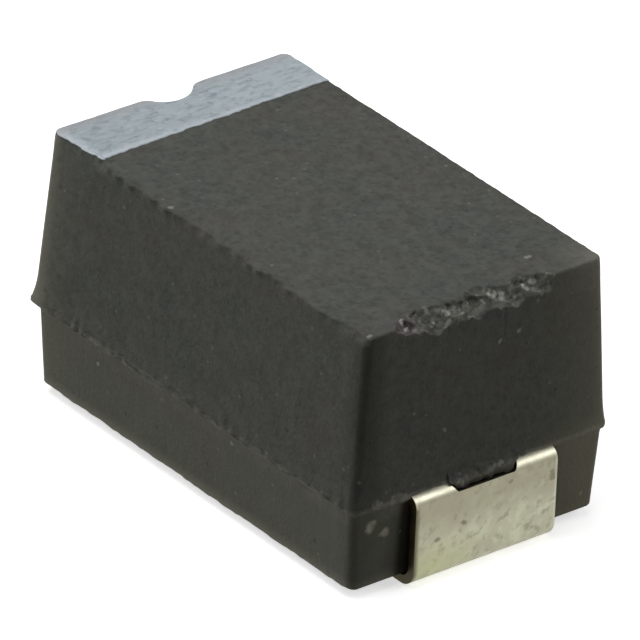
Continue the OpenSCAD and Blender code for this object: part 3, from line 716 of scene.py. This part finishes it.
def epoxy_skin(name, shade):
    """Transfer-moulded epoxy with silica filler: matt dark grey, faintly mottled in grey-green and
    brown, with fine grain, pits and crumbs, and streaks on the walls where it slid out of the
    mould. The shade darkens all of it."""
    made, tree, shader, mm = start_material(name)
    mottle = field(tree, mm, 0.9, detail=3, low=0.35, high=0.65)
    colour = blend(tree, mottle, "#494d49", "#514d49")
    patch = field(tree, mm, 0.2, detail=2, low=0.32, high=0.68, out=(0, 0.6))
    colour = blend(tree, patch, colour, "#61645d")
    blot = field(tree, mm, 0.1, detail=2, low=0.48, high=0.68, out=(0, 0.5), offset=(3, 1, 7))
    colour = blend(tree, blot, colour, "#383935")
    grain = field(tree, mm, 0.05, detail=2, low=0.35, high=0.72)
    colour = blend(tree, multiply(tree, grain, 0.3), colour, "#62635d")
    x, y, z = add(tree, "ShaderNodeSeparateXYZ", {0: mm}).outputs
    normal = add(tree, "ShaderNodeTexCoord").outputs["Normal"]
    upward = add(tree, "ShaderNodeSeparateXYZ", {0: normal}).outputs[2]
    wall = ramp(tree, upward, 0.5, 0.2)
    streak = field(tree, mm, 0.05, stretch=(1, 1, 12), detail=1, low=0.5, high=0.75, out=(0, 0.12))
    colour = blend(tree, multiply(tree, streak, wall), colour, "#6b6c64")
    # Painted shade: the walls a little darker than the top face
    colour = blend(tree, multiply(tree, wall, 0.25), colour, "#41413b")
    lower = ramp(tree, z, PARTING_Z + 0.02, PARTING_Z - 0.05, 0, 0.5)
    colour = blend(tree, lower, colour, "#6a695f")
    # A paler strip under the parting line, a painted highlight on its crest and dark torn dashes
    # along it
    under = calc(tree, "SUBTRACT", z, PARTING_Z)
    strip = multiply(tree, ramp(tree, under, -0.3, -0.12), ramp(tree, under, 0.03, -0.02))
    strip = multiply(tree, strip, field(tree, mm, 0.25, out=(0.15, 0.45)))
    colour = blend(tree, strip, colour, "#7d7b72")
    off = calc(tree, "ABSOLUTE", under)
    crest = multiply(tree, ramp(tree, off, 0.06, 0.01), ramp(tree, x, 3.3, 3.4, 0.3, 0.7))
    broken = field(tree, mm, 0.17, detail=2, low=0.38, high=0.6, out=(0.25, 1.0), offset=(2, 8, 5))
    colour = blend(tree, multiply(tree, crest, broken), colour, "#8b897f")
    dashes = field(tree, mm, 0.12, stretch=(1.8, 1.8, 0.7), detail=2, low=0.5, high=0.62,
                   out=(0, 0.6), offset=(9, 2, 4))
    dashes = multiply(tree, dashes, ramp(tree, x, 3.4, 3.2))
    colour = blend(tree, multiply(tree, ramp(tree, off, 0.12, 0.04), dashes), colour, "#2f2f2b")
    # Painted rim light: paler round two upright corners and along the foot, by the distance from
    # them
    gaps = []
    for axis, half, draft in ((x, UPPER_LENGTH / 2, 0.03), (y, UPPER_WIDTH / 2, 0.06)):
        gap = calc(tree, "SUBTRACT", half, calc(tree, "ABSOLUTE", axis))
        gaps.append(calc(tree, "SUBTRACT", gap, multiply(tree, off, draft)))
    corner_gap = calc(tree, "ADD", *gaps)
    two_corners = ramp(tree, multiply(tree, x, y), 0.0, 2.0)
    foot_gap = calc(tree, "SUBTRACT", z, BOTTOM_Z)
    upright = multiply(tree, wall, ramp(tree, upward, -0.95, -0.6))
    for gap, reach, share in (
            (corner_gap, 1.2, 0.27), (corner_gap, 0.3, 0.6), (foot_gap, 0.24, 0.85)):
        painted_rim_light = ramp(tree, gap, reach, 0.02)
        painted_rim_light = multiply(tree, multiply(tree, painted_rim_light, painted_rim_light), multiply(tree, upright, share))
        if gap is corner_gap:
            painted_rim_light = multiply(tree, painted_rim_light, two_corners)
        colour = blend(tree, painted_rim_light, colour, "#8d8b7e")
    # Painted light: paler over the far part of the cathode end, above all low down, and at its top
    # corner
    far = multiply(tree, ramp(tree, y, 0.7, 1.9), ramp(tree, x, 3.3, 3.4))
    low = ramp(tree, z, 1.65, 1.3, 0.24, 1.0)
    colour = blend(tree, multiply(tree, multiply(tree, far, low), 0.75), colour, "#858270")
    painted_light_corner = gap_to(tree, mm, (3.3, 1.95, TOP_Z))
    colour = blend(tree, ramp(tree, painted_light_corner, 0.6, 0.1, 0, 0.42), colour, "#85837c")
    # Painted shade: darker round the near corner of the cathode end
    plan = vector(tree, "MULTIPLY", mm, (1, 1, 0))
    near_corner = gap_to(tree, plan, (3.5, -1.98, 0))
    dark = multiply(tree, ramp(tree, near_corner, 0.42, 0.1), ramp(tree, z, 1.0, 2.6, 0.36, 0.66))
    colour = blend(tree, multiply(tree, dark, wall), colour, "#252520")
    # Painted shadow on the case wall beside the lead
    beside = calc(tree, "SUBTRACT", calc(tree, "ABSOLUTE", y), TERMINAL_WIDTH / 2)
    painted_lead_shadow = ramp(tree, beside, 0.17, 0.07)
    for limit in (
            ramp(tree, z, PARTING_Z - 0.03, PARTING_Z - 0.1), ramp(tree, y, 0.0, 0.5, 0.85, 0.4),
            ramp(tree, calc(tree, "ABSOLUTE", x), 3.3, 3.4)):
        painted_lead_shadow = multiply(tree, painted_lead_shadow, limit)
    colour = blend(tree, painted_lead_shadow, colour, "#18140e")
    # Pits and crumbs in some patches, then the marks that stand out one by one
    patchy = field(tree, mm, 0.5, detail=1, low=0.35, high=0.65, offset=(4, 4, 4))
    pits = multiply(tree, specks(tree, mm, 0.3, 0.045, 3.1), patchy)
    colour = blend(tree, multiply(tree, pits, 0.5), colour, "#2a2b27")
    crumbs = multiply(tree, specks(tree, mm, 0.27, 0.034, 7.7), patchy)
    colour = blend(tree, multiply(tree, crumbs, 0.4), colour, "#96978e")
    scuff = field(tree, mm, 0.12, detail=1, out=(0.55, 1.0))
    scuff = multiply(tree, at_places(tree, mm, SCUFFS, 0.085), scuff)
    colour = blend(tree, scuff, colour, "#a3a093")
    torn = field(tree, mm, 0.06, detail=1, out=(0.1, 0.6))
    torn = multiply(tree, at_places(tree, mm, TORN_FLASH, 0.1), torn)
    colour = blend(tree, torn, colour, "#98958a")
    bare = multiply(tree, at_places(tree, mm, BARE_GRAINS, 0.045), 0.45)
    colour = blend(tree, bare, colour, "#b0b1a9")
    if shade:
        colour = blend(tree, shade, colour, "#2a2a27")
    tree.links.new(colour, shader.inputs["Base Color"])
    shader.inputs["Roughness"].default_value = 0.62
    shader.inputs["IOR"].default_value = EPOXY_IOR
    shader.inputs["Specular IOR Level"].default_value = 0.06
    raise_surface(tree, shader, grain, 0.0035)
    return made


def broken_epoxy():
    """The same epoxy where it broke: dark rough facets with painted highlights where they catch the
    light, and a purplish cast at the near end."""
    made, tree, shader, mm = start_material("broken_silica_filled_epoxy")
    patch = field(tree, mm, 0.2, detail=2, low=0.35, high=0.65)
    colour = blend(tree, patch, "#32322e", "#5c5c54")
    y = add(tree, "ShaderNodeSeparateXYZ", {0: mm}).outputs[1]
    colour = blend(tree, ramp(tree, y, -0.95, -1.2, 0, 0.6), colour, "#4d4246")
    mid = field(tree, mm, 0.11, detail=1, low=0.55, high=0.68, offset=(5, 1, 8))
    colour = blend(tree, multiply(tree, mid, 0.6), colour, "#85867e")
    facet = field(tree, mm, 0.07, detail=1, low=0.35, high=0.6, out=(0.1, 1))
    glint = multiply(tree, at_places(tree, mm, GLINTS, 0.07), facet)
    colour = blend(tree, multiply(tree, glint, 0.85), colour, "#c2c3ba")
    tree.links.new(colour, shader.inputs["Base Color"])
    shader.inputs["Roughness"].default_value = 0.5
    shader.inputs["IOR"].default_value = EPOXY_IOR
    shader.inputs["Specular IOR Level"].default_value = 0.2
    raise_surface(tree, shader, patch, 0.01)
    return made


def marked_band():
    """A marked band on epoxy: pale blue-grey, laid in passes along its length that leave faint
    darker dashes, and heavier along two of its edges."""
    made, tree, shader, mm = start_material("marked_pale_band")
    body = field(tree, mm, 0.5, detail=3)
    colour = blend(tree, body, "#a8b3b9", "#b3bec3")
    light = field(tree, mm, 0.07, stretch=(1, 2.5, 1), detail=2, low=0.52, high=0.68, out=(0, 0.5),
                  offset=(1, 5, 3))
    colour = blend(tree, light, colour, "#c3cbd1")
    dash = field(tree, mm, 0.08, stretch=(1, 3.5, 1), detail=2, low=0.52, high=0.66)
    colour = blend(tree, multiply(tree, dash, 0.55), colour, "#84939a")
    spot = field(tree, mm, 0.11, stretch=(1, 1.4, 1), detail=2, low=0.57, high=0.66,
                 offset=(6, 1, 2))
    colour = blend(tree, multiply(tree, spot, 0.5), colour, "#788890")
    x, y, _ = add(tree, "ShaderNodeSeparateXYZ", {0: mm}).outputs
    colour = blend(tree, ramp(tree, y, 0.0, 1.9, 0, 0.2), colour, "#c4ced4")
    colour = blend(tree, ramp(tree, y, -0.3, -1.6, 0, 0.2), colour, "#939ea4")
    ragged = field(tree, mm, 0.12, detail=3, low=0.25, high=0.75, out=(-0.06, 0.06))
    for axis, at, toward in ((x, BAND_EDGE_X, -1), (y, -TOP_WIDTH / 2 + 0.04, 1)):
        gap = calc(tree, "MULTIPLY_ADD", axis, toward, -at * toward)
        border = ramp(tree, calc(tree, "ADD", gap, ragged), 0.03, 0.13, 0.85, 0)
        colour = blend(tree, border, colour, "#c9d1d8")
    colour = blend(tree, ramp(tree, x, -3.15, -3.38, 0, 0.6), colour, "#a8a6a8")
    pits = specks(tree, mm, 0.3, 0.03, 1.3)
    colour = blend(tree, multiply(tree, pits, 0.5), colour, "#6c7880")
    tree.links.new(colour, shader.inputs["Base Color"])
    shader.inputs["Roughness"].default_value = 0.6
    shader.inputs["Specular IOR Level"].default_value = 0.3
    raise_surface(tree, shader, dash, -0.005)
    return made


def tinned_strip():
    """Matt tin plated on a stamped lead frame: warm pale grey with a soft sheen, cloudy patches and
    slanting rubbing marks, a painted highlight over the shoulder and along both edges, painted
    shade along its near edge, and dull brown on its sheared edges."""
    made, tree, shader, mm = start_material("matt_tin_plate")
    cloud = field(tree, mm, 0.5, detail=2)
    colour = blend(tree, cloud, "#9f9c89", "#abaa93")
    x, y, z = add(tree, "ShaderNodeSeparateXYZ", {0: mm}).outputs
    side = multiply(tree, y, calc(tree, "SIGN", x))
    turned = {"Vector": mm, "Angle": math.radians(40)}
    slanted = add(tree, "ShaderNodeVectorRotate", turned, rotation_type="X_AXIS").outputs[0]
    pale = field(tree, slanted, 0.19, stretch=(1, 1, 1.2), detail=2, low=0.5, high=0.64,
                 out=(0, 0.65), offset=(2, 7, 4))
    pale = multiply(tree, pale, ramp(tree, side, -0.7, 0.2, 0.35, 1.0))
    colour = blend(tree, pale, colour, "#b4b5a0")
    dull = field(tree, slanted, 0.14, stretch=(1, 0.95, 1.2), detail=2, low=0.54, high=0.67,
                 out=(0, 0.6), offset=(8, 3, 1))
    colour = blend(tree, dull, colour, "#7b7966")
    pits = specks(tree, mm, 0.35, 0.045, 5.2)
    colour = blend(tree, multiply(tree, pits, 0.3), colour, "#7a7763")
    nicks = at_places(tree, mm, TIN_MARKS, 0.055)
    colour = blend(tree, multiply(tree, nicks, 0.7), colour, "#4c4a3c")
    # Brown-grey toward the shoulder and greener toward the foot
    colour = blend(tree, ramp(tree, z, 0.6, 1.05, 0, 0.6), colour, "#7d7865")
    foot = multiply(tree, ramp(tree, z, 0.7, 0.3), ramp(tree, side, 0.0, -0.8))
    colour = blend(tree, multiply(tree, foot, 0.5), colour, "#a3a67c")
    # Painted highlight over the shoulder's bend
    shoulder = multiply(tree, ramp(tree, z, EXIT_Z - 0.045, EXIT_Z + 0.03), 0.75)
    colour = blend(tree, shoulder, colour, "#c6c4b2")
    # A painted highlight along both edges, painted shade along the near one, and dull brown on the
    # sheared faces
    edge = TERMINAL_WIDTH / 2
    rim = ramp(tree, calc(tree, "ABSOLUTE", y), edge - 0.05, edge - 0.02)
    colour = blend(tree, multiply(tree, rim, 0.3), colour, "#c5c3af")
    painted_near_edge_shade = ramp(tree, side, -edge + 0.08, -edge + 0.02, 0, 0.85)
    painted_near_edge_shade = multiply(tree, painted_near_edge_shade, ramp(tree, z, EXIT_Z - 0.05, EXIT_Z - 0.12))
    colour = blend(tree, painted_near_edge_shade, colour, "#4d4634")
    normal = add(tree, "ShaderNodeTexCoord").outputs["Normal"]
    sideways = add(tree, "ShaderNodeSeparateXYZ", {0: normal}).outputs[1]
    sheared = ramp(tree, calc(tree, "ABSOLUTE", sideways), 0.45, 0.8)
    colour = blend(tree, sheared, colour, "#4a4432")
    tree.links.new(colour, shader.inputs["Base Color"])
    shader.inputs["Metallic"].default_value = 1.0
    rough = field(tree, mm, 0.2, detail=1, out=(0.34, 0.44))
    tree.links.new(rough, shader.inputs["Roughness"])
    raise_surface(tree, shader, cloud, 0.005)
    return made


def plain_grained(name, dark, light, size, metallic, roughness, relief):
    """A material of one substance with its own grain, for the pieces inside the moulding."""
    made, tree, shader, mm = start_material(name)
    grain = field(tree, mm, size, detail=3)
    tree.links.new(blend(tree, grain, dark, light), shader.inputs["Base Color"])
    shader.inputs["Metallic"].default_value = metallic
    shader.inputs["Roughness"].default_value = roughness
    raise_surface(tree, shader, grain, relief)
    return made


skin = epoxy_skin("moulded_silica_filled_epoxy", 0.0)
torn_skin = epoxy_skin("torn_epoxy_in_window", 0.2)
tin = tinned_strip()
for piece, finishes in (
        (case, (skin, broken_epoxy(), torn_skin)), (band, (marked_band(),)),
        (cathode, (tin,)), (anode, (tin,))):
    for finish in finishes:
        piece.data.materials.append(finish)

# Pieces inside the moulding, which only an opened part shows: the material's name, its two colours,
# the size of its grain, how metallic and how rough it is, and its relief
INNER = {
    # Pressed and sintered tantalum powder: dark grey and porous, with no gloss
    "tantalum_slug": ("sintered_tantalum", "#55585d", "#6b6f75", 0.03, 0.6, 0.7, 0.01),
    # Drawn tantalum wire: blue-grey metal with fine drawing lines
    "anode_wire": ("drawn_tantalum_wire", "#80848a", "#999da3", 0.05, 1.0, 0.35, 0.001),
    # Punched PTFE washer: white, waxy and slightly clouded
    "insulating_washer": ("punched_ptfe", "#e6e6e1", "#f2f2ee", 0.2, 0.0, 0.45, 0.001),
    # Manganese dioxide baked in layers: brown-black and matt
    "manganese_dioxide_layer": (
        "baked_manganese_dioxide", "#221f1e", "#302c2a", 0.04, 0.0, 0.85, 0.006),
    # Dipped graphite: dark grey with a dull sheen
    "graphite_layer": ("dipped_graphite", "#303133", "#424345", 0.03, 0.0, 0.55, 0.003),
    # Dipped silver paint: pale grey flakes in a binder
    "silver_layer": ("dipped_silver_paint", "#a9aaab", "#c6c7c8", 0.03, 0.8, 0.5, 0.003),
    # Cured silver-filled adhesive: grey paste with a granular surface
    "silver_adhesive": ("cured_silver_adhesive", "#92928e", "#b0b0ab", 0.05, 0.6, 0.6, 0.006),
}
for name, (title, *finish) in INNER.items():
    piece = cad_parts[name]
    piece.data.materials.clear()
    piece.data.materials.append(plain_grained(title, *finish))

for piece, node, slot in (
        (case, "moulded_case", "moulding_epoxy"), (band, "polarity_band", "band_mark"),
        (cathode, "cathode_terminal", "tinned_strip"), (anode, "anode_terminal", "tinned_strip")):
    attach(piece, "root")
    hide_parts(node)

# ---- Floor, light and camera, in metres ----------------------------------------------------

FLOOR_RADIUS, FLOOR_DROP = 0.25, 0.00001
FLOOR_GLOW = 0.62
WORLD_LIGHT, WORLD_SEEN = 0.06, 1.0
LAMP_TARGET = Vector((0, 0, 0.002))
WHITE = (1, 1, 1, 1)


def seen_value(tree):
    """1 where the floor or world is looked at, in a mirror too, and 0 where it only gives light."""
    ray = add(tree, "ShaderNodeLightPath").outputs
    seen = calc(tree, "MAXIMUM", ray["Is Camera Ray"], ray["Is Glossy Ray"])
    return calc(tree, "MAXIMUM", seen, ray["Is Transmission Ray"])


bpy.ops.mesh.primitive_circle_add(
    vertices=64, radius=FLOOR_RADIUS, fill_type="NGON", location=(0, 0, -FLOOR_DROP))
floor = bpy.context.object
floor.name = "studio_floor"
card = bpy.data.materials.new("white_studio_card")
card.use_nodes = True
tree = card.node_tree
tree.nodes.clear()
seen = seen_value(tree)
paper = blend(tree, seen, "#96968f", "#ffffff")
matt = add(tree, "ShaderNodeBsdfDiffuse", {"Color": paper}).outputs[0]
glow = {"Color": WHITE, "Strength": multiply(tree, seen, FLOOR_GLOW)}
glow = add(tree, "ShaderNodeEmission", glow).outputs[0]
surface = add(tree, "ShaderNodeAddShader", {0: matt, 1: glow}).outputs[0]
add(tree, "ShaderNodeOutputMaterial", {"Surface": surface})
floor.data.materials.append(card)

world = bpy.data.worlds.new("studio")
bpy.context.scene.world = world
world.use_nodes = True
tree = world.node_tree
tree.nodes.clear()
dim, white = [
    add(tree, "ShaderNodeBackground", {"Color": WHITE, "Strength": strength}).outputs[0]
    for strength in (WORLD_LIGHT, WORLD_SEEN)]
mixed = add(tree, "ShaderNodeMixShader", {0: seen_value(tree), 1: dim, 2: white}).outputs[0]
add(tree, "ShaderNodeOutputWorld", {"Surface": mixed})


def softbox(name, place, size, radiance):
    """A square lamp at a place, turned to the part, whose face has that brightness."""
    lamp = bpy.data.lights.new(name, "AREA")
    lamp.shape = "SQUARE"
    lamp.size = size
    lamp.energy = radiance * math.pi * size * size
    holder = bpy.data.objects.new(name, lamp)
    holder.location = place
    holder.rotation_euler = (LAMP_TARGET - Vector(place)).to_track_quat("-Z", "Y").to_euler()
    bpy.context.scene.collection.objects.link(holder)


softbox("overhead_softbox", (-0.02, -0.03, 0.14), 0.12, 2.6)
softbox("left_softbox", (-0.14, -0.11, 0.05), 0.13, 2.5)
softbox("back_softbox", (0.10, 0.11, 0.12), 0.10, 2.6)

# The camera's direction from the part, and how many millimetres it stands to the side of the
# target, above it and away from it
AZIMUTH, ELEVATION, ROLL = math.radians(50.73), math.radians(29.49), math.radians(2.56)
ASIDE, ABOVE, AWAY = 0.0707, 1.7372, 185.234
TARGET = Vector((0, 0, 0.029))
SENSOR_WIDTH, FOCAL_LENGTH = 36, 772.81875

level = math.cos(ELEVATION)
back = Vector((math.sin(AZIMUTH) * level, -math.cos(AZIMUTH) * level, math.sin(ELEVATION)))
right = Vector((0, 0, 1)).cross(back).normalized()
up = back.cross(right)
tilted_right = math.cos(ROLL) * right + math.sin(ROLL) * up
tilted_up = -math.sin(ROLL) * right + math.cos(ROLL) * up
lens = bpy.data.cameras.new("camera")
lens.sensor_width = SENSOR_WIDTH
lens.lens = FOCAL_LENGTH
lens.clip_start, lens.clip_end = 0.01, 10
camera = bpy.data.objects.new("camera", lens)
place = (tilted_right * ASIDE + tilted_up * ABOVE + back * AWAY + TARGET) * MM
turn = Matrix((tilted_right, tilted_up, back)).transposed().to_4x4()
camera.matrix_world = Matrix.Translation(place) @ turn
bpy.context.scene.collection.objects.link(camera)
bpy.context.scene.camera = camera
bpy.context.scene.view_settings.view_transform = "Standard"
